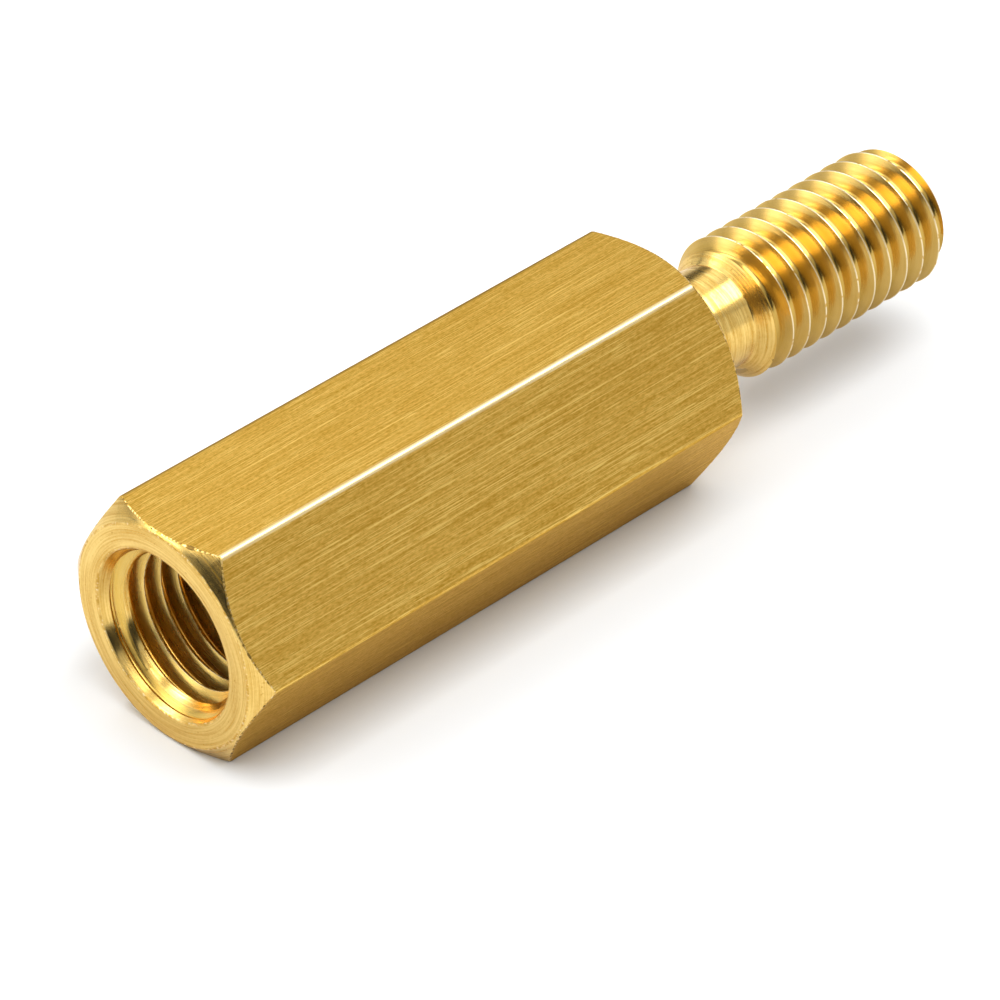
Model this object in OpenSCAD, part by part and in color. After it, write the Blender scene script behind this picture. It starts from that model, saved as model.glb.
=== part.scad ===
// Hex standoff, turned in one piece from brass hex bar: a threaded hole in one end and a
// threaded stud with a relief neck on the other.
// It lies on one flat. The axis runs along X with the stud towards +X, +Z is up, and the origin
// is on the axis at the shoulder, where the hex ends and the stud begins.
// The thread turns are left off: the stud is as thick as its crests and the hole is as wide as
// its tap drill.

/* [Hex body] */
// Width of the hex across its flats
across_flats = 8; // [7.2:0.1:12]
// Length of the hex, from the face with the hole to the shoulder
body_length = 22; // [16:0.5:60]
// Radius drawn along the six long edges
edge_radius = 0.16; // [0.04:0.02:0.4]
// How far the chamfer at the hole's end cuts in from the middle of a flat
end_inset = 0.1; // [0.02:0.02:0.4]
// How far the chamfer at the shoulder cuts in from the middle of a flat
shoulder_inset = 0.2; // [0.02:0.02:0.6]
// Slope of both chamfers, measured from the end face
chamfer_angle = 38; // [20:1:45]

/* [Hole] */
// Diameter of the hole's thread
hole_thread_d = 5.7; // [3.6:0.1:5.8]
// Pitch of the hole's thread
hole_pitch = 0.7; // [0.5:0.05:1]
// Depth of the drilled hole, from the end face to where its point begins
hole_depth = 12; // [5:0.5:14]
// How far the countersink opens out beyond the thread, on the radius
mouth_margin = 0.2; // [0.1:0.05:0.5]
// Angle across the countersink
countersink_angle = 60; // [60:5:120]
// Angle across the drill's point
drill_point_angle = 118; // [90:1:140]

/* [Stud] */
// Diameter of the stud, over its thread
stud_d = 5; // [3:0.1:5.5]
// Pitch of the stud's thread
stud_pitch = 0.8; // [0.5:0.05:1]
// Length of the stud, from the shoulder to its tip
stud_length = 12; // [7:0.5:30]
// How deep the relief neck lies below the thread's crests
relief_depth = 0.65; // [0.3:0.05:0.8]
// Length of the neck, from the shoulder to the cone that leads up to the thread
neck_length = 2.9; // [1:0.1:5]
// Slope of that cone, measured from the axis
cone_angle = 50; // [30:1:60]
// Radius where the neck meets the shoulder
neck_fillet = 0.25; // [0.05:0.05:0.5]

/* [Hidden] */
$fn = 96;

brass = "#C9A24B";
hex_sides = 6;
// Half the angle between two neighbouring corners
half_side = 180 / hex_sides;
flat_r = across_flats / 2;
corner_r = flat_r / cos(half_side);
end_face_r = flat_r - end_inset;
shoulder_r = flat_r - shoulder_inset;

// A tap drill is one pitch smaller than the thread
drill_r = (hole_thread_d - hole_pitch) / 2;
mouth_r = hole_thread_d / 2 + mouth_margin;
countersink_depth = (mouth_r - drill_r) / tan(countersink_angle / 2);
drill_point_depth = drill_r / tan(drill_point_angle / 2);

stud_r = stud_d / 2;
neck_r = stud_r - relief_depth;
cone_length = relief_depth / tan(cone_angle);
// The tip is chamfered down to the thread's root
root_share = 0.6;
tip_chamfer = stud_pitch * root_share;
// The stud is drawn a little way into the hex, so that the two are one solid
stud_root = 1;
// The hole's cutter starts a little outside the end face
cut_margin = 1;

// How far a chamfer reaches along a corner of the hex, from a face of this radius
function chamfer_rise(face_r) = (corner_r - face_r) * tan(chamfer_angle);

// Point on a circle about the origin
function polar(radius, angle) = [radius * cos(angle), radius * sin(angle)];

// Turns an outline of [radius, distance] points about the X axis
module turned() {
    rotate([0, 90, 0]) rotate_extrude() children();
}

// Section of the bar: straight flats, with an arc at each of the six corners
module bar_section() {
    arc_centre_r = (flat_r - edge_radius) / cos(half_side);
    corners = [for (i = [0 : hex_sides - 1]) half_side * (2 * i + 1)];
    polygon([
        for (corner = corners, side = [-1, 1])
            polar(arc_centre_r, corner) + polar(edge_radius, corner + side * half_side)
    ]);
    for (corner = corners) translate(polar(arc_centre_r, corner)) circle(r = edge_radius);
}

// The bar as cut to length
module bar() {
    rotate([0, 90, 0]) linear_extrude(height = body_length) bar_section();
}

// What the lathe leaves of the bar: both end faces, and a chamfer round each
module chamfered_envelope() {
    turned() polygon([
        [0, 0],
        [end_face_r, 0],
        [corner_r, chamfer_rise(end_face_r)],
        [corner_r, body_length - chamfer_rise(shoulder_r)],
        [shoulder_r, body_length],
        [0, body_length],
    ]);
}

// Blind hole with its countersink and the cone that the drill's point leaves
module hole_cut() {
    turned() polygon([
        [0, -cut_margin],
        [mouth_r, -cut_margin],
        [mouth_r, 0],
        [drill_r, countersink_depth],
        [drill_r, hole_depth],
        [0, hole_depth + drill_point_depth],
    ]);
}

// Hex body from the face with the hole to the shoulder
module hex_body() {
    translate([-body_length, 0, 0]) difference() {
        intersection() {
            bar();
            chamfered_envelope();
        }
        hole_cut();
    }
}

// Neck, cone, thread and chamfered tip
module stud() {
    turned() polygon([
        [0, -stud_root],
        [neck_r, -stud_root],
        [neck_r, neck_length],
        [stud_r, neck_length + cone_length],
        [stud_r, stud_length - tip_chamfer],
        [stud_r - tip_chamfer, stud_length],
        [0, stud_length],
    ]);
    turned() shoulder_fillet();
}

// Outline of the fillet between the neck and the shoulder
module shoulder_fillet() {
    difference() {
        translate([neck_r - neck_fillet, -stud_root])
            square([2 * neck_fillet, stud_root + neck_fillet]);
        translate([neck_r + neck_fillet, neck_fillet]) circle(r = neck_fillet);
    }
}

module standoff() {
    color(brass) {
        hex_body();
        stud();
    }
}

standoff();
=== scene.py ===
"""Hex standoff: the turned brass part with its cut threads and worn edges, in a plain studio."""

import math
import random

import bpy
from mathutils import Matrix, Vector


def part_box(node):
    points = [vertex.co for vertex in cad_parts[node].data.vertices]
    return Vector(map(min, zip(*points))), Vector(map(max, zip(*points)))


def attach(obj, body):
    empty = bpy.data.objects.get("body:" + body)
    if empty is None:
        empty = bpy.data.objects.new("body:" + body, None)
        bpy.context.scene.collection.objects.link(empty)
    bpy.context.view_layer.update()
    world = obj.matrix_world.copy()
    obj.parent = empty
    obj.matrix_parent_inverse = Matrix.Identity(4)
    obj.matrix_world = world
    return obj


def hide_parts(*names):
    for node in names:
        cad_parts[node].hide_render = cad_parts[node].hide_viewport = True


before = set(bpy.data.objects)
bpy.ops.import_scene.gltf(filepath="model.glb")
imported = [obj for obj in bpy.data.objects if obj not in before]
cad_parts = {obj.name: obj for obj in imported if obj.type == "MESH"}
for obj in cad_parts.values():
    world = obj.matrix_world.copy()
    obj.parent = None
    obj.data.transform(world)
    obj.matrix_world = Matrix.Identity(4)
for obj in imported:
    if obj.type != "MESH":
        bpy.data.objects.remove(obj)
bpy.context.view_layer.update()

# ---------------------------------------------------------------------------
# Sizes, in millimetres. x runs along the axis and r is the distance from it.
# ---------------------------------------------------------------------------
MM = 0.001
BODY = "root"
NODE = "standoff"

low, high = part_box(NODE)
ACROSS_FLATS = (high.z - low.z) / MM
FACE_X = low.x / MM                  # the end face with the hole
TIP_X = high.x / MM                  # the stud's tip; the shoulder is at x = 0
FLAT_R = ACROSS_FLATS / 2            # to the middle of a flat
CORNER_R = high.y / MM               # to the crown of a long edge

# Hex
SIDES = 6
SIDE = math.tau / SIDES
EDGE_RADIUS = 0.16                   # along the six long edges
CHAMFER_SLOPE = math.tan(math.radians(38))      # x for each mm of r
END_INSET = 0.1                      # how far a chamfer cuts in from the middle of a flat
SHOULDER_INSET = 0.2
END_FACE_R = FLAT_R - END_INSET
SHOULDER_R = FLAT_R - SHOULDER_INSET

# Hole
MOUTH_R = 3.05                       # of the countersink, at the end face
COUNTERSINK_SLOPE = math.tan(math.radians(60 / 2))
DRILL_R = 2.5                        # which is also the crest of the hole's thread
HOLE_DEPTH = 12.0
DRILL_POINT_SLOPE = math.tan(math.radians(118 / 2))

# Stud
STUD_R = 2.5                         # over the crests of its thread
NECK_R = 1.85
NECK_LENGTH = 2.9
NECK_FILLET = 0.25
CONE_SLOPE = math.tan(math.radians(50))
CONE_X = NECK_LENGTH + 0.1           # the thread's mesh starts on the cone, here
TIP_CHAMFER = 0.48

# Threads. A phase is the x of a crest where the angle is 0.
THREAD_HALF_ANGLE = math.radians(30)
ROOT_TURN = math.radians(60)         # round the root, from a flank to the middle
CREST_SHARE = 0.028                  # half of the flat on a crest, as a share of the pitch
CREST_BRIM = 0.009                   # how far the corners of that flat are worn back
STUD_PITCH = 0.8
STUD_PHASE = 0.46
STUD_ROOT_RADIUS = 0.22 * STUD_PITCH
BORE_PITCH = 0.7
BORE_PHASE = -0.18
BORE_ROOT_RADIUS = 0.12 * BORE_PITCH
BORE_THREAD_START = 0.1              # the countersink is wider than the thread up to here
BORE_THREAD_DEPTH = 10.6             # from the end face to where the tap stopped
BORE_THREAD_FADE = 1.2               # and how long the thread takes to run out there

# Softened edges: how far they are cut back where they aren't worn
SHOULDER_EDGE = 0.022
FILLET_EDGE = 0.4 * NECK_FILLET      # at both ends of a straight line, to bend it into the fillet
CONE_EDGE = 0.02

# The one dent, on the edge between the chamfer at the hole's end and the flat on top
DENT_ANGLE = math.radians(108)
DENT_HALF = math.radians(2.5)
DENT_WIDTH = 0.09
DENT_PLACE = (FACE_X + 0.24, -1.29, 3.98)
DENT_DARK_REACH = 0.17                    # how far the dark patch around it reaches

# Divisions of the mesh
RIDGE_STEPS = 6                      # across the arc of a long edge
FLAT_STEPS = 24                      # across a flat
BEND = (0, 0.33, 0.67, 1)            # round a softened edge
FLANK_STEPS = 3                      # down the flank of a thread
ROOT_STEPS = 3                       # and from there to the middle of its root
TIP_RING_R = 1.2                     # a ring on the tip, which keeps its faces short
SHARP_ANGLE = math.radians(32)       # faces that meet at more than this meet at a sharp edge
SNAP_HALVINGS = 20                   # of a stretch, to find where the cut leaves the blank
SNAP_CLOSE = 1e-6                    # a row this near to such a place is already there
CLOSE = 1e-3                         # two surfaces nearer than this are one

# Finishes, in the order of the mesh's materials
DRAWN, TURNED, CUT, BORED, RUBBED, WORN = range(6)
# The nine stretches of the outline from the countersink to the cone, and the eight edges between
STRETCHES = [TURNED] * 3 + [DRAWN] + [TURNED] * 5
EDGES = [RUBBED] * 2 + [WORN] * 3 + [TURNED] * 3


# ---------------------------------------------------------------------------
# Outlines
# ---------------------------------------------------------------------------
def ridge_angle(turn):
    """Angle from a corner to the point where its arc faces `turn` away from the corner."""
    centre = (FLAT_R - EDGE_RADIUS) / math.cos(SIDE / 2)
    along = centre + EDGE_RADIUS * math.cos(turn)
    return math.atan2(EDGE_RADIUS * math.sin(turn), along)


def girth_angles():
    """Angles about the axis, from +Y towards +Z, closer together at the six corners."""
    turns = [SIDE * (i / RIDGE_STEPS - 0.5) for i in range(RIDGE_STEPS + 1)]
    ridge = [ridge_angle(turn) for turn in turns]
    gap = SIDE - 2 * ridge[-1]
    flat = [ridge[-1] + gap * i / FLAT_STEPS for i in range(1, FLAT_STEPS)]
    return [corner * SIDE + angle for corner in range(SIDES) for angle in ridge + flat]


ANGLES = girth_angles()


def hex_radius(angle):
    """Distance from the axis to the hex, its long edges rounded."""
    off = abs((angle + SIDE / 2) % SIDE - SIDE / 2)
    if off >= ridge_angle(SIDE / 2):
        return FLAT_R / math.cos(SIDE / 2 - off)
    centre = (FLAT_R - EDGE_RADIUS) / math.cos(SIDE / 2)
    return centre * math.cos(off) + math.sqrt(EDGE_RADIUS**2 - (centre * math.sin(off)) ** 2)


def ripple(seed, waves, lowest, highest):
    """A smooth function of the angle, mostly between -1 and 1, and the same on each run.

    It adds up waves that each go round the part a whole number of times, from lowest to highest.
    """
    chance = random.Random(seed)
    parts = [
        (chance.randint(lowest, highest), chance.uniform(0, math.tau)) for _ in range(waves)
    ]
    scale = 1 / math.sqrt(waves)
    return lambda angle: scale * sum(math.sin(n * angle + shift) for n, shift in parts)


def worn(width, swing, seed, waves, lowest, highest):
    """How far a worn edge is cut back at each angle: its width, and a ripple on it."""
    wear = ripple(seed, waves, lowest, highest)
    return lambda angle: width + swing * wear(angle)


def softened(outline, widths):
    """The outline with each inner corner cut back by its width and bent round."""
    points = [outline[0]]
    for before, corner, after, width in zip(outline, outline[1:], outline[2:], widths):
        here = Vector(corner)
        back = here + (Vector(before) - here).normalized() * width
        ahead = here + (Vector(after) - here).normalized() * width
        for t in BEND:
            point = back * (1 - t) ** 2 + here * 2 * t * (1 - t) + ahead * t**2
            points.append(tuple(point))
    return points + [outline[-1]]


# ---------------------------------------------------------------------------
# Threads
# ---------------------------------------------------------------------------
def groove(pitch, root_radius):
    """(u, depth) points over one pitch of a thread, from the middle of one crest to the next."""
    crest_half = CREST_SHARE * pitch
    flank_rise = 1 / math.tan(THREAD_HALF_ANGLE)
    sharp = (pitch / 2 - crest_half) * flank_rise
    centre_depth = sharp - 2 * root_radius
    first = crest_half + CREST_BRIM
    last = pitch / 2 - root_radius * math.cos(THREAD_HALF_ANGLE)
    half = [
        (0, 0),
        (crest_half - CREST_BRIM, 0),
        (crest_half + CREST_BRIM / 4, CREST_BRIM / 2),
    ]
    for i in range(FLANK_STEPS + 1):
        u = first + (last - first) * i / FLANK_STEPS
        half.append((u, (u - crest_half) * flank_rise))
    for i in range(1, ROOT_STEPS + 1):
        turn = THREAD_HALF_ANGLE + ROOT_TURN * i / ROOT_STEPS
        u = pitch / 2 - root_radius * math.cos(turn)
        half.append((u, centre_depth + root_radius * math.sin(turn)))
    return half + [(pitch - u, depth) for u, depth in reversed(half[1:-1])]


class Thread:
    """A helical groove that is cut into a blank, and the finish of its faces."""

    def __init__(self, pitch, phase, root_radius):
        self.pitch = pitch
        self.phase = phase
        self.profile = groove(pitch, root_radius)

    def depth(self, x, angle):
        """Depth of the groove, which is 0 on a crest."""
        u = (x - self.phase - self.pitch * angle / math.tau) % self.pitch
        closed = self.profile + [(self.pitch, 0)]
        (u0, d0), (u1, d1) = next(pair for pair in zip(closed, closed[1:]) if u <= pair[1][0])
        return d0 + (d1 - d0) * (u - u0) / (u1 - u0)


class StudThread(Thread):
    """The thread on the stud."""

    def blank(self, x):
        """Radius before the thread is cut: the cone, the bar and the tip's chamfer."""
        cone = NECK_R + (x - NECK_LENGTH) * CONE_SLOPE
        tip = STUD_R - (x - (TIP_X - TIP_CHAMFER))
        return min(cone, STUD_R, tip)

    def cut(self, x, angle):
        return STUD_R - self.depth(x, angle)

    def radius(self, x, angle):
        return min(self.blank(x), self.cut(x, angle))

    def finish(self, corners):
        """Turned where the die left the cone or the tip's chamfer as it was, and else cut."""
        for x, y, z in corners:
            r = math.hypot(y, z)
            if r > STUD_R - CLOSE or r < self.blank(x) - CLOSE:
                return CUT
        return TURNED


class BoreThread(Thread):
    """The thread in the hole."""

    def blank(self, x):
        """Radius before the thread is cut: the countersink and the drilled wall."""
        return max(DRILL_R, MOUTH_R - (x - FACE_X) * COUNTERSINK_SLOPE)

    def cut(self, x, angle):
        left = (FACE_X + BORE_THREAD_DEPTH - x) / BORE_THREAD_FADE
        return DRILL_R + self.depth(x, angle) * min(max(left, 0), 1)

    def radius(self, x, angle):
        return max(self.blank(x), self.cut(x, angle))

    def finish(self, corners):
        """Turned on the countersink, and else cut by the tap."""
        for x, y, z in corners:
            r = math.hypot(y, z)
            if r < DRILL_R + CLOSE or r > self.blank(x) + CLOSE:
                return BORED
        return TURNED


STUD = StudThread(STUD_PITCH, STUD_PHASE, STUD_ROOT_RADIUS)
BORE = BoreThread(BORE_PITCH, BORE_PHASE, BORE_ROOT_RADIUS)


# ---------------------------------------------------------------------------
# Mesh
# ---------------------------------------------------------------------------
class Skin:
    """The part's closed skin. Its rings share one list of angles."""

    def __init__(self):
        self.points = []
        self.known = {}
        self.faces = []
        self.finishes = []

    def point(self, column, x, r):
        key = (column if r > 0 else 0, round(x, 5), round(r, 5))
        if key not in self.known:
            self.known[key] = len(self.points)
            angle = ANGLES[column]
            self.points.append(Vector((x, r * math.cos(angle), r * math.sin(angle))) * MM)
        return self.known[key]

    def ring(self, places):
        """One point for each angle, at (x, r)."""
        return [self.point(column, *place) for column, place in enumerate(places)]

    def face(self, corners, finish):
        """Adds a face. Its finish is a number, or a function of the places of its corners."""
        kept = list(dict.fromkeys(corners))
        if len(kept) > 2:
            self.faces.append(kept)
            if callable(finish):
                finish = finish([self.points[i] / MM for i in kept])
            self.finishes.append(finish)

    def band(self, first, second, finish, shifted=None):
        """Faces between two rings. `shifted` is the pair that follows them, one turn on."""
        last = len(first) - 1
        after_first, after_second = shifted or (first, second)
        for k in range(last):
            self.face((first[k], first[k + 1], second[k + 1], second[k]), finish)
        self.face((first[last], after_first[0], after_second[0], second[last]), finish)

    def lathe(self, columns, finishes):
        """Bands along outlines that all have the same number of points."""
        rings = [self.ring(places) for places in zip(*columns)]
        for first, second, finish in zip(rings, rings[1:], finishes):
            self.band(first, second, finish)

    def helix(self, start, end, thread):
        """Rows that follow a thread from start to end, each at its own place in the profile."""
        pitch = thread.pitch
        low_x, high_x = min(start, end), max(start, end)
        # The rows begin a turn before the stretch and go on past it. Both ends hold them back.
        turns = math.ceil((high_x - low_x) / pitch) + 3
        base = thread.phase + math.floor((low_x - thread.phase) / pitch - 1) * pitch
        rows = []
        for turn in range(turns):
            for u, _ in thread.profile:
                x = base + turn * pitch + u
                rows.append([
                    min(max(x + pitch * angle / math.tau, low_x), high_x) for angle in ANGLES
                ])
        for k in range(len(ANGLES)):
            snap(rows, k, thread)
        rings = [
            [self.point(k, x, thread.radius(x, ANGLES[k])) for k, x in enumerate(row)]
            for row in rows
        ]
        per_turn = len(thread.profile)
        last = len(rings) - 1
        for i in range(last):
            pair = [rings[i], rings[i + 1]]
            after = [rings[min(i + per_turn + n, last)] for n in (0, 1)]
            if end < start:
                pair.reverse()
                after.reverse()
            self.band(*pair, thread.finish, after)


def snap(rows, k, thread):
    """Moves the nearest row of one column onto each place where the cut leaves the blank."""
    angle = ANGLES[k]

    def over(x):
        return thread.blank(x) - thread.cut(x, angle)

    column = [row[k] for row in rows]
    moved = {}
    for i, (a, b) in enumerate(zip(column, column[1:])):
        if b - a < SNAP_CLOSE or over(a) * over(b) >= 0:
            continue
        if min(abs(over(a)), abs(over(b))) < SNAP_CLOSE:
            continue
        lo_x, hi_x = a, b
        for _ in range(SNAP_HALVINGS):
            middle = (lo_x + hi_x) / 2
            if over(lo_x) * over(middle) <= 0:
                hi_x = middle
            else:
                lo_x = middle
        nearest = i if hi_x - a < b - hi_x else i + 1
        moved.setdefault(nearest, hi_x)
    for i, x in moved.items():
        if 0 < i < len(rows) - 1 and rows[i - 1][k] < x < rows[i + 1][k]:
            rows[i][k] = x


def hex_columns():
    """Outlines from inside the countersink, over the hex, to the neck's cone."""
    mouth = worn(width=0.05, swing=0.006, seed=3, waves=12, lowest=4, highest=30)
    rim = worn(width=0.04, swing=0.01, seed=5, waves=20, lowest=10, highest=80)
    chamfer = worn(width=0.035, swing=0.013, seed=8, waves=24, lowest=12, highest=85)
    shoulder = worn(width=0.035, swing=0.013, seed=13, waves=24, lowest=12, highest=85)
    inner_x = FACE_X + BORE_THREAD_START
    columns = []
    for angle in ANGLES:
        side_r = hex_radius(angle)
        outline = [
            (inner_x, BORE.blank(inner_x)),
            (FACE_X, MOUTH_R),
            (FACE_X, END_FACE_R),
            (FACE_X + (side_r - END_FACE_R) * CHAMFER_SLOPE, side_r),
            (-(side_r - SHOULDER_R) * CHAMFER_SLOPE, side_r),
            (0, SHOULDER_R),
            (0, NECK_R + NECK_FILLET),
            (NECK_FILLET, NECK_R),
            (NECK_LENGTH, NECK_R),
            (CONE_X, NECK_R + (CONE_X - NECK_LENGTH) * CONE_SLOPE),
        ]
        dent = DENT_WIDTH * max(1 - abs(angle - DENT_ANGLE) / DENT_HALF, 0)
        widths = [
            mouth(angle),
            rim(angle),
            chamfer(angle) + dent,
            shoulder(angle),
            SHOULDER_EDGE,
            FILLET_EDGE,
            FILLET_EDGE,
            CONE_EDGE,
        ]
        columns.append(softened(outline, widths))
    return columns


def hex_finishes():
    """The finish of each band of those outlines: the stretches, with the edges between them."""
    finishes = STRETCHES[:1]
    for edge, stretch in zip(EDGES, STRETCHES[1:]):
        finishes += [edge] * (len(BEND) - 1) + [stretch]
    return finishes


def standoff_mesh():
    skin = Skin()
    drill_end = FACE_X + HOLE_DEPTH
    point_x = drill_end + DRILL_R / DRILL_POINT_SLOPE
    thread_end = FACE_X + BORE_THREAD_DEPTH
    blind = [[(point_x, 0), (drill_end, DRILL_R), (thread_end, DRILL_R)] for _ in ANGLES]
    skin.lathe(blind, [BORED] * 2)
    skin.helix(thread_end, FACE_X + BORE_THREAD_START, BORE)
    skin.lathe(hex_columns(), hex_finishes())
    skin.helix(CONE_X, TIP_X, STUD)
    tip = [
        [(TIP_X, STUD.radius(TIP_X, angle)), (TIP_X, TIP_RING_R), (TIP_X, 0)] for angle in ANGLES
    ]
    skin.lathe(tip, [TURNED] * 2)

    mesh = bpy.data.meshes.new("standoff_visual")
    mesh.from_pydata(skin.points, [], skin.faces)
    for polygon, finish in zip(mesh.polygons, skin.finishes):
        polygon.material_index = finish
        polygon.use_smooth = True
    mesh.validate()
    mesh.set_sharp_from_angle(angle=SHARP_ANGLE)
    return mesh


# ---------------------------------------------------------------------------
# Materials
# ---------------------------------------------------------------------------
# Sockets of a Mix node that blends colours
MIX_FIRST, MIX_SECOND, MIX_RESULT = 6, 7, 2
NOISE_ROUGHNESS = 0.55


class Nodes:
    """A node tree, with short ways to add nodes and join them."""

    def __init__(self, tree):
        self.tree = tree

    def add(self, kind):
        return self.tree.nodes.new(kind)

    def join(self, value, socket):
        """Puts a plain value or another node's output on a socket."""
        if isinstance(value, bpy.types.NodeSocket):
            self.tree.links.new(value, socket)
        else:
            socket.default_value = value

    def join_all(self, values, sockets):
        for value, socket in zip(values, sockets):
            self.join(value, socket)

    def math(self, operation, *values):
        node = self.add("ShaderNodeMath")
        node.operation = operation
        self.join_all(values, node.inputs)
        return node.outputs[0]

    def product(self, first, *others):
        for other in others:
            first = self.math("MULTIPLY", first, other)
        return first

    def weighted(self, *parts):
        """Sum of (value, weight) pairs."""
        total, *others = [self.product(value, weight) for value, weight in parts]
        for other in others:
            total = self.math("ADD", total, other)
        return total

    def vector(self, operation, *values, output="Vector"):
        node = self.add("ShaderNodeVectorMath")
        node.operation = operation
        self.join_all(values, node.inputs)
        return node.outputs[output]

    def combine(self, x, y, z):
        node = self.add("ShaderNodeCombineXYZ")
        self.join_all((x, y, z), node.inputs)
        return node.outputs[0]

    def noise(self, place, scales, detail=2, w=None):
        """Noise whose grain is 1 / scale mm along each axis."""
        node = self.add("ShaderNodeTexNoise")
        if w is not None:
            node.noise_dimensions = "4D"
            self.join(w, node.inputs["W"])
        self.join(self.vector("MULTIPLY", place, scales), node.inputs["Vector"])
        node.inputs["Scale"].default_value = 1
        node.inputs["Detail"].default_value = detail
        node.inputs["Roughness"].default_value = NOISE_ROUGHNESS
        return node.outputs["Fac"]

    def fit(self, value, low, high, out_low=0, out_high=1, kind="LINEAR"):
        """The value, fitted from the range low to high into another range and kept inside it."""
        node = self.add("ShaderNodeMapRange")
        node.interpolation_type = kind
        self.join_all((value, low, high, out_low, out_high), node.inputs)
        return node.outputs[0]

    def near(self, place, middle, reach):
        """1 around a point, falling to 0 at this distance from it."""
        distance = self.vector("DISTANCE", place, middle, output="Value")
        return self.fit(distance, reach / 2, reach, 1, 0)

    def blend(self, share, first, second):
        """The first colour where the share is 0, and the second where it is 1."""
        node = self.add("ShaderNodeMix")
        node.data_type = "RGBA"
        self.join(share, node.inputs[0])
        for colour, number in ((first, MIX_FIRST), (second, MIX_SECOND)):
            value = (*colour, 1) if isinstance(colour, tuple) else colour
            self.join(value, node.inputs[number])
        return node.outputs[MIX_RESULT]


class Shading(Nodes):
    """The node tree of one metal, which knows where on the part it is, in millimetres."""

    def __init__(self, name):
        self.material = bpy.data.materials.new(name)
        self.material.use_nodes = True
        super().__init__(self.material.node_tree)
        self.shader = self.tree.nodes["Principled BSDF"]
        self.shader.inputs["Metallic"].default_value = 1
        self.place = self.vector("MULTIPLY", self.add("ShaderNodeTexCoord").outputs["Object"],
                                 (1 / MM, 1 / MM, 1 / MM))
        split = self.add("ShaderNodeSeparateXYZ")
        self.join(self.place, split.inputs[0])
        self.x, self.y, self.z = split.outputs

    def bump(self, height, depth):
        """Bump from a height of 0 to 1 that stands for a depth in mm."""
        node = self.add("ShaderNodeBump")
        node.inputs["Strength"].default_value = 1
        node.inputs["Distance"].default_value = depth * MM
        self.join(height, node.inputs["Height"])
        self.join(node.outputs[0], self.shader.inputs["Normal"])

    def finish(self, colour, roughness):
        self.join(colour, self.shader.inputs["Base Color"])
        self.join(roughness, self.shader.inputs["Roughness"])
        return self.material


BRASS_DEEP = (0.55, 0.30, 0.034)
BRASS_MID = (0.82, 0.508, 0.107)
BRASS_PALE = (0.98, 0.70, 0.19)
# Painted shade on the crowns of the upper long edges, on the far side
BRASS_FAR_EDGE_SHADE = (0.48, 0.28, 0.06)
# Bright nicks on the worn rims, and the painted highlight on the crowns of the upper long edges,
# near side
BRASS_NICK_AND_HIGHLIGHT = (1.0, 0.79, 0.42)
BRASS_GLANCING = (0.92, 0.79, 0.54)
BRASS_TURNED = (1.0, 0.70, 0.222)
BRASS_SHADE = (0.71, 0.42, 0.08)
BRASS_PIT = (0.22, 0.13, 0.03)
# Painted highlight along the crests of the threads
BRASS_CREST_HIGHLIGHT = (1.0, 0.84, 0.52)
# Painted shade in the root of a thread, and the colour of its flanks
STUD_ROOT_SHADE_AND_FLANK = ((0.63, 0.405, 0.09), (0.75, 0.505, 0.15))
BORE_ROOT_SHADE_AND_FLANK = ((0.86, 0.56, 0.12), (0.95, 0.68, 0.21))
STUD_SHADED_DEPTH = 0.4              # from the crests to where the painted shade of the root is full, in mm
BORE_SHADED_DEPTH = 0.3
STUD_ROUGHNESS = 0.17
BORE_ROUGHNESS = 0.22
# How much a rim is pitted dark, from 0 to 1
RUBBED_PITS = 0.15
WORN_PITS = 1
# Scales that several finishes share
FINE_GRAIN = (9, 9, 9)
PIT_GRAIN = (5, 5, 5)


def around(s):
    """Distance from the axis, kept above 0, and the direction from it as a cosine and a sine."""
    r = s.math("SQRT", s.math("ADD", s.product(s.y, s.y), s.product(s.z, s.z)))
    r = s.math("MAXIMUM", r, CLOSE)
    return r, s.math("DIVIDE", s.y, r), s.math("DIVIDE", s.z, r)


def drawn_brass():
    """The flats: long fine lines left by drawing and brushing, over a fine grain."""
    s = Shading("brass_drawn")
    s.shader.inputs["Specular Tint"].default_value = (*BRASS_GLANCING, 1)
    r, _, _ = around(s)
    lines = s.noise(s.place, (0.2, 17, 17), 3)
    grain = s.noise(s.place, (6, 17, 17), 3)
    tone = s.weighted((lines, 0.45), (grain, 0.55))
    colour = s.blend(s.fit(tone, 0.385, 0.605), BRASS_DEEP, BRASS_MID)

    # Marks are dark furrows where their noise is low and pale scratches where it is high
    long_marks = s.noise(s.place, (0.1, 25, 25), 1)
    short_marks = s.noise(s.place, (0.6, 28, 28), 1)
    broken = s.fit(s.noise(s.place, (1.2, 22, 22), 2), 0.36, 0.50)
    furrow = s.math("MAXIMUM", s.fit(long_marks, 0.40, 0.33), s.fit(short_marks, 0.38, 0.31))
    scratch = s.math("MAXIMUM", s.fit(long_marks, 0.59, 0.65), s.fit(short_marks, 0.61, 0.67))
    scratch = s.product(scratch, broken)
    colour = s.blend(s.product(furrow, broken, 0.75), colour, BRASS_DEEP)
    colour = s.blend(s.product(scratch, 0.9), colour, BRASS_PALE)

    # The upper long edges' crowns: painted highlight on the near side, painted shade on the far
    # one
    ragged_r = s.math("ADD", r, s.product(s.math("SUBTRACT", lines, 0.5), 0.06))
    edge = s.product(s.fit(ragged_r, CORNER_R - 0.05, CORNER_R - 0.02), s.fit(s.z, 1, 3))
    edge_highlight_and_shade = s.blend(s.fit(s.y, -1, 1), BRASS_NICK_AND_HIGHLIGHT, BRASS_FAR_EDGE_SHADE)
    colour = s.blend(edge, colour, edge_highlight_and_shade)

    s.bump(s.weighted((lines, 0.5), (grain, 0.5), (scratch, 0.15)), 0.003)
    return s.finish(colour, s.fit(tone, 0.4, 0.62, 0.38, 0.30))


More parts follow.
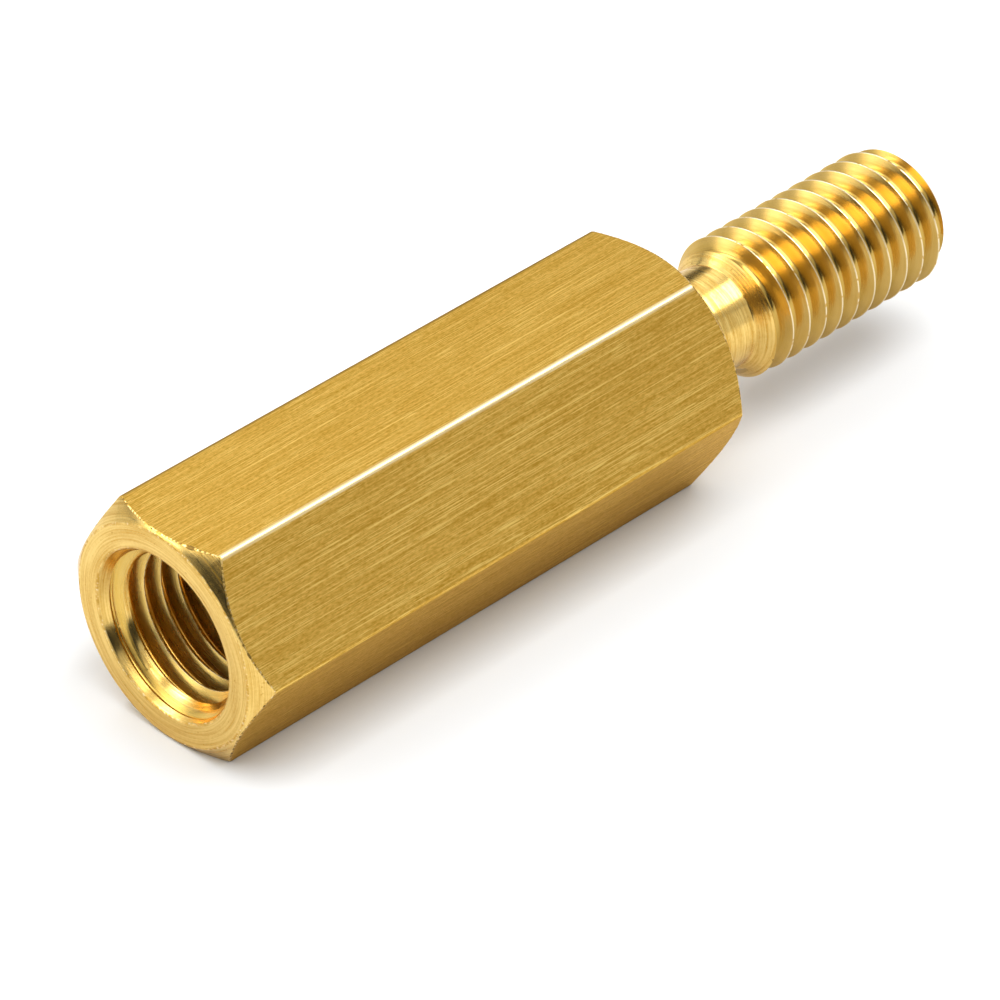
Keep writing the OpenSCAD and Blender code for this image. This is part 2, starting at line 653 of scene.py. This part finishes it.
def turned_brass():
    """End faces, chamfers, neck and cone: rings left by the lathe tool, and a few pits."""
    s = Shading("brass_turned")
    r, cosine, sine = around(s)
    place = s.combine(s.x, r, cosine)
    rings = s.noise(place, (16, 16, 1.1), 3, s.product(sine, 1.1))
    broad = s.noise(place, (3.5, 3.5, 1.6), 2, s.product(sine, 1.6))
    grain = s.noise(s.place, FINE_GRAIN, 3)
    pits = s.noise(s.place, PIT_GRAIN, 1)
    tone = s.weighted((rings, 0.6), (broad, 0.25), (grain, 0.15))
    colour = s.blend(s.fit(tone, 0.38, 0.58), BRASS_SHADE, BRASS_TURNED)
    colour = s.blend(s.fit(pits, 0.72, 0.76, 0, 0.6), colour, BRASS_DEEP)
    s.bump(s.weighted((rings, 0.8), (grain, 0.2)), 0.0035)
    return s.finish(colour, s.fit(tone, 0.4, 0.6, 0.28, 0.14))


def threaded_brass(name, thread, root_shade_and_flank, root_r, crest_r, roughness):
    """A thread: smooth flanks with faint lines that run along the helix, and nicked crests."""
    s = Shading(name)
    r, cosine, sine = around(s)
    turn = s.math("DIVIDE", s.math("ARCTAN2", s.z, s.y), math.tau)
    turns = s.math("DIVIDE", s.math("SUBTRACT", s.x, thread.phase), thread.pitch)
    along = s.math("FRACT", s.math("SUBTRACT", turns, turn))
    place = s.combine(s.product(along, thread.pitch), r, cosine)
    w = s.math("ADD", sine, s.product(s.x, 0.35))
    lines = s.noise(place, (13, 7, 0.8), 3, w)
    patches = s.noise(s.place, (1.1, 1.1, 1.1), 2)
    grain = s.noise(s.place, FINE_GRAIN, 3)
    tone = s.weighted((lines, 0.6), (patches, 0.4))
    # Painted shade: the colour darkens from the crests down into the roots
    height = s.fit(r, root_r, crest_r)
    share = s.math("ADD", s.product(height, 0.8), s.fit(tone, 0.36, 0.62, -0.25, 0.4))
    colour = s.blend(share, *root_shade_and_flank)
    # A painted highlight along the crests, nicked dark in places
    crest_highlight = s.fit(height, 0.94, 0.99)
    colour = s.blend(crest_highlight, colour, BRASS_CREST_HIGHLIGHT)
    nicks = s.fit(s.noise(s.place, PIT_GRAIN, 2), 0.60, 0.66)
    colour = s.blend(s.product(nicks, crest_highlight), colour, BRASS_SHADE)
    s.bump(s.weighted((lines, 0.8), (grain, 0.2)), 0.004)
    return s.finish(colour, s.fit(tone, 0.36, 0.62, roughness + 0.1, roughness))


def worn_brass(name, pitted):
    """The soft rims between two faces, with bright nicks and, where pitted is 1, dark ones."""
    s = Shading(name)
    nicks = s.noise(s.place, FINE_GRAIN, 2)
    bright = s.noise(s.place, (2.2, 2.2, 2.2), 1)
    colour = s.blend(s.fit(bright, 0.4, 0.7), BRASS_SHADE, BRASS_TURNED)
    colour = s.blend(s.fit(nicks, 0.56, 0.63, 0, 0.8), colour, BRASS_NICK_AND_HIGHLIGHT)
    colour = s.blend(s.fit(nicks, 0.48, 0.41, 0, 0.9 * pitted), colour, BRASS_PIT)
    # A dark patch around the dent
    colour = s.blend(s.near(s.place, DENT_PLACE, DENT_DARK_REACH), colour, BRASS_PIT)
    s.bump(nicks, 0.003 + 0.005 * pitted)
    return s.finish(colour, s.fit(nicks, 0.35, 0.6, 0.5, 0.28))


# ---------------------------------------------------------------------------
# Piece
# ---------------------------------------------------------------------------
def add_object(name, data):
    item = bpy.data.objects.new(name, data)
    bpy.context.scene.collection.objects.link(item)
    return item


def make_standoff():
    mesh = standoff_mesh()
    piece = add_object("standoff_brass", mesh)
    materials = [
        drawn_brass(),
        turned_brass(),
        threaded_brass("brass_thread", STUD, STUD_ROOT_SHADE_AND_FLANK, STUD_R - STUD_SHADED_DEPTH, STUD_R,
                       STUD_ROUGHNESS),
        threaded_brass("brass_bore", BORE, BORE_ROOT_SHADE_AND_FLANK, DRILL_R + BORE_SHADED_DEPTH, DRILL_R,
                       BORE_ROUGHNESS),
        worn_brass("brass_rubbed_rim", RUBBED_PITS),
        worn_brass("brass_worn_edge", WORN_PITS),
    ]
    for material in materials:
        mesh.materials.append(material)
    weighted = piece.modifiers.new("weighted_normals", "WEIGHTED_NORMAL")
    weighted.keep_sharp = True
    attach(piece, BODY)
    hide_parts(NODE)


# ---------------------------------------------------------------------------
# Studio
# ---------------------------------------------------------------------------
# Distances and places are in millimetres here too, unless it says otherwise
CAMERA_AZIMUTH = math.radians(-44.29)
CAMERA_ELEVATION = math.radians(35.99)
CAMERA_ROLL = math.radians(-0.66)
CAMERA_DISTANCE = 199.9
CAMERA_RIGHT = 3.12                  # how far the camera stands to the right of its target
CAMERA_UP = -0.09
CAMERA_TARGET = Vector((-11.6, 0, 0))
CAMERA_LENS = 224.4
CAMERA_SENSOR = 36.0
CAMERA_CLIP = 0.01                   # in metres

FLOOR_HALF = 2.0                     # half of each side, in metres
FLOOR_CORNERS = ((-1, -1), (1, -1), (1, 1), (-1, 1))
FLOOR_SEEN = (0.80, 0.82, 0.84)      # by the camera
FLOOR_REFLECTED = (0.63, 0.63, 0.63)
WHITE = (1, 1, 1, 1)
# The room: each panel's first and last azimuth, from +X towards +Y in degrees, its lower and
# upper height, as the sine of the elevation, and its radiance
ROOM_RADIANCE = 0.03
PANELS = (
    (-180, 180, 0.50, 1.2, 0.52),    # ceiling
    (10, 70, 0.57, 0.82, 0.78),      # brighter part of it behind the part
    (60, 145, 0.23, 0.83, 0.79),     # wall behind the part, to the left
    (70, 145, 0.66, 0.88, 3.1),      # rear softbox, high up in front of that wall
    (130, 165, 0.14, 0.30, 2.1),     # strip on the left
    (128, 155, 0.36, 0.48, 3.8),     # softbox above it
    (150, 195, 0.50, 0.84, 0.8),     # upper wall on the left
    (15, 180, -0.2, 0.17, 0.69),     # sweep behind the part
    (285, 325, -0.2, 0.47, 0.68),    # card on the right
    (-5, 35, 0.07, 0.22, 3.5),       # strip on the right, behind the part
)
AZIMUTH_EDGE = math.radians(8)       # how softly a panel ends to each side
HEIGHT_EDGE = 0.03                   # and above and below
# The lamp overhead: its height above the axis and its reach along x and y
SOFTBOX_HEIGHT = 300
SOFTBOX_X = (-180, 320)
SOFTBOX_Y = (-235, 10)
SOFTBOX_RADIANCE = 3.3


def make_camera():
    """A camera that looks at its target from a distance, shifted and rolled a little."""
    flat = math.cos(CAMERA_ELEVATION)
    back = Vector((
        math.sin(CAMERA_AZIMUTH) * flat,
        -math.cos(CAMERA_AZIMUTH) * flat,
        math.sin(CAMERA_ELEVATION),
    ))
    level = Vector((math.cos(CAMERA_AZIMUTH), math.sin(CAMERA_AZIMUTH), 0))
    upright = back.cross(level)
    right = math.cos(CAMERA_ROLL) * level + math.sin(CAMERA_ROLL) * upright
    up = back.cross(right)
    place = CAMERA_TARGET + CAMERA_RIGHT * right + CAMERA_UP * up + CAMERA_DISTANCE * back
    data = bpy.data.cameras.new("camera")
    data.lens = CAMERA_LENS
    data.sensor_width = CAMERA_SENSOR
    data.clip_start = CAMERA_CLIP
    camera = add_object("camera", data)
    turn = Matrix((right, up, back)).transposed().to_4x4()
    camera.matrix_world = Matrix.Translation(place * MM) @ turn
    bpy.context.scene.camera = camera


def floor_white():
    """Matt white, and darker to the brass than to the camera."""
    material = bpy.data.materials.new("floor_white")
    material.use_nodes = True
    n = Nodes(material.node_tree)
    shader = n.tree.nodes["Principled BSDF"]
    shader.inputs["Roughness"].default_value = 1
    shader.inputs["Specular IOR Level"].default_value = 0
    seen = n.add("ShaderNodeLightPath").outputs["Is Camera Ray"]
    n.join(n.blend(seen, FLOOR_REFLECTED, FLOOR_SEEN), shader.inputs["Base Color"])
    return material


def make_floor():
    z = -FLAT_R * MM
    mesh = bpy.data.meshes.new("floor")
    corners = [(x * FLOOR_HALF, y * FLOOR_HALF, z) for x, y in FLOOR_CORNERS]
    mesh.from_pydata(corners, [], [(0, 1, 2, 3)])
    mesh.materials.append(floor_white())
    floor = add_object("floor", mesh)


def panel_light(n, azimuth, height, panel):
    """Radiance of one panel, fading out at its edges."""
    first, last, low, high, radiance = panel
    middle, half = math.radians(first + last) / 2, math.radians(last - first) / 2
    off = n.math("WRAP", n.math("SUBTRACT", azimuth, middle), math.pi, -math.pi)
    lit = n.fit(n.math("ABSOLUTE", off), half - AZIMUTH_EDGE, half + AZIMUTH_EDGE, radiance, 0,
                "SMOOTHSTEP")
    above = n.fit(height, low - HEIGHT_EDGE, low + HEIGHT_EDGE, 0, 1, "SMOOTHSTEP")
    below = n.fit(height, high - HEIGHT_EDGE, high + HEIGHT_EDGE, 1, 0, "SMOOTHSTEP")
    return n.product(above, below, lit)


def make_world():
    """A dark room with lit panels. The camera itself sees plain white."""
    world = bpy.data.worlds.new("studio")
    world.use_nodes = True
    n = Nodes(world.node_tree)
    split = n.add("ShaderNodeSeparateXYZ")
    n.join(n.add("ShaderNodeTexCoord").outputs["Generated"], split.inputs[0])
    x, y, height = split.outputs
    azimuth = n.math("ARCTAN2", y, x)
    radiance = ROOM_RADIANCE
    for panel in PANELS:
        radiance = n.math("ADD", radiance, panel_light(n, azimuth, height, panel))
    room = n.tree.nodes["Background"]
    n.join_all((WHITE, radiance), room.inputs)
    white = n.add("ShaderNodeBackground")
    n.join_all((WHITE, 1), white.inputs)
    seen = n.add("ShaderNodeLightPath").outputs["Is Camera Ray"]
    either = n.add("ShaderNodeMixShader")
    n.join_all((seen, room.outputs[0], white.outputs[0]), either.inputs)
    n.join(either.outputs[0], n.tree.nodes["World Output"].inputs["Surface"])
    bpy.context.scene.world = world


def make_softbox():
    """The lamp overhead. Its radiance and its sides give its power."""
    data = bpy.data.lights.new("softbox", "AREA")
    data.shape = "RECTANGLE"
    data.size = (SOFTBOX_X[1] - SOFTBOX_X[0]) * MM
    data.size_y = (SOFTBOX_Y[1] - SOFTBOX_Y[0]) * MM
    data.energy = SOFTBOX_RADIANCE * math.pi * data.size * data.size_y
    lamp = add_object("softbox", data)
    lamp.location = (sum(SOFTBOX_X) / 2 * MM, sum(SOFTBOX_Y) / 2 * MM, SOFTBOX_HEIGHT * MM)


make_camera()
make_floor()
make_world()
make_softbox()
make_standoff()

bpy.context.scene.view_settings.view_transform = "Standard"
